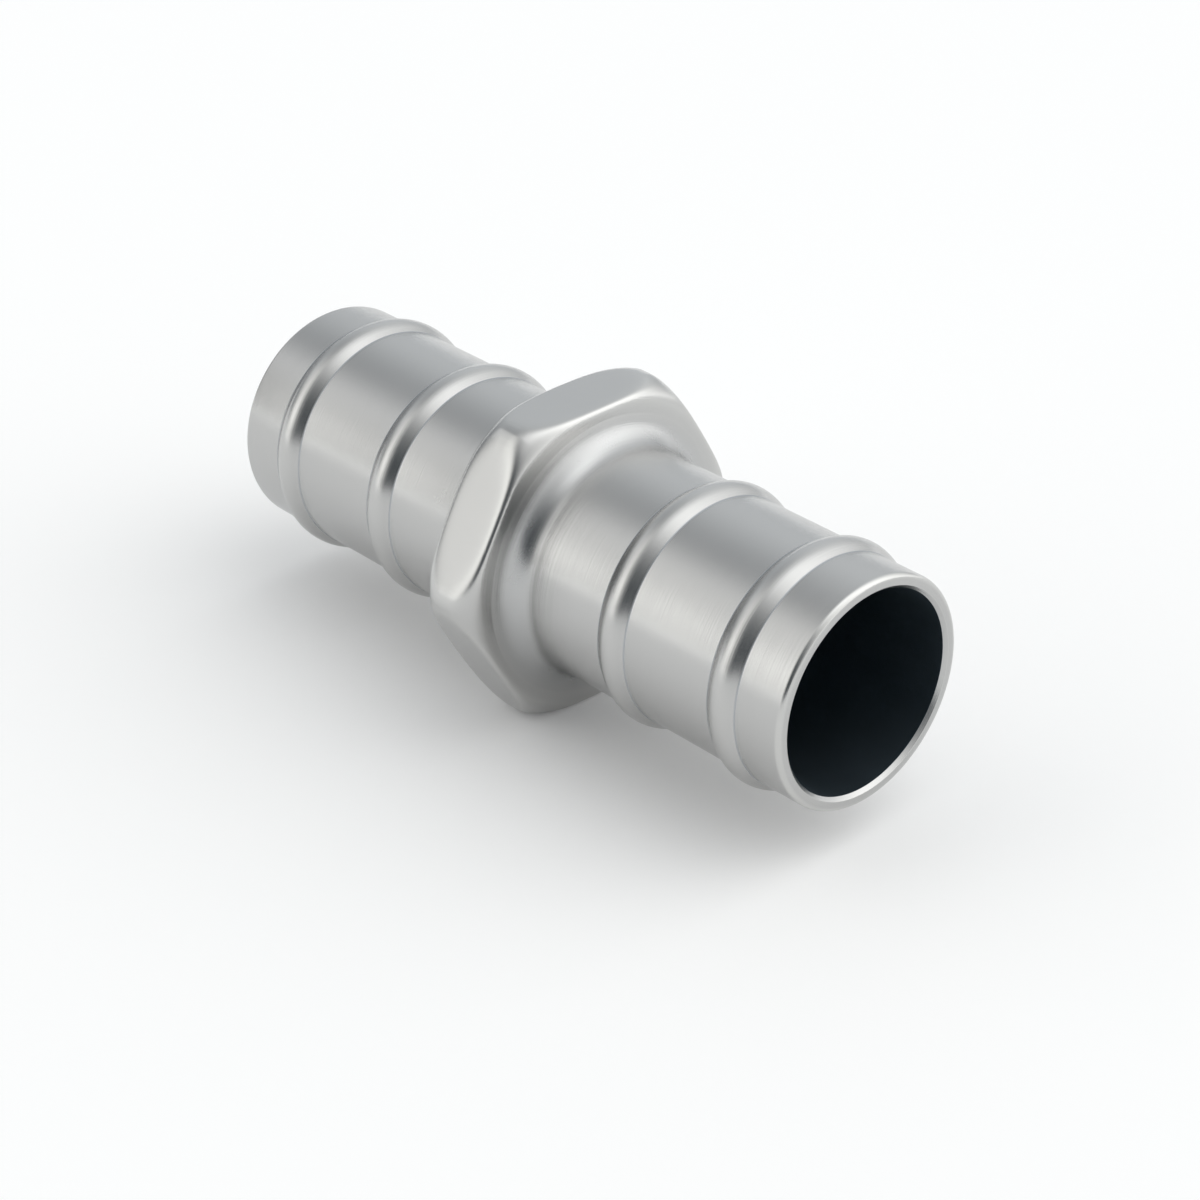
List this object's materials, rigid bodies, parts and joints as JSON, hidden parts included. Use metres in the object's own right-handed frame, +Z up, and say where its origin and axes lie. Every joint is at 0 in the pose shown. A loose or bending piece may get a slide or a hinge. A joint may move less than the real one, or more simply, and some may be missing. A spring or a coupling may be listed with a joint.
{
  "type": "double-ended hose coupling",
  "caption": "Rigid coupling that joins flexible pipes: a ridged hose tail on each side of a spanner hexagon, with a plain bore right through.",
  "frame": {"origin": "on the bore's axis, in the middle of the hexagon, which is the centre of the whole coupling", "axes": "+X along the bore towards one mouth, +Z up and square to the upper hexagon flat, +Y level, through two hexagon corners"},
  "size_m": [0.0834, 0.0388, 0.0344],
  "materials": {
    "polished_stainless": "bright satin polish over fine turning marks, softer in the hollows, dark inside the bore"
  },
  "bodies": {
    "root": {"hose_coupling": "polished_stainless"}
  },
  "joints": []
}
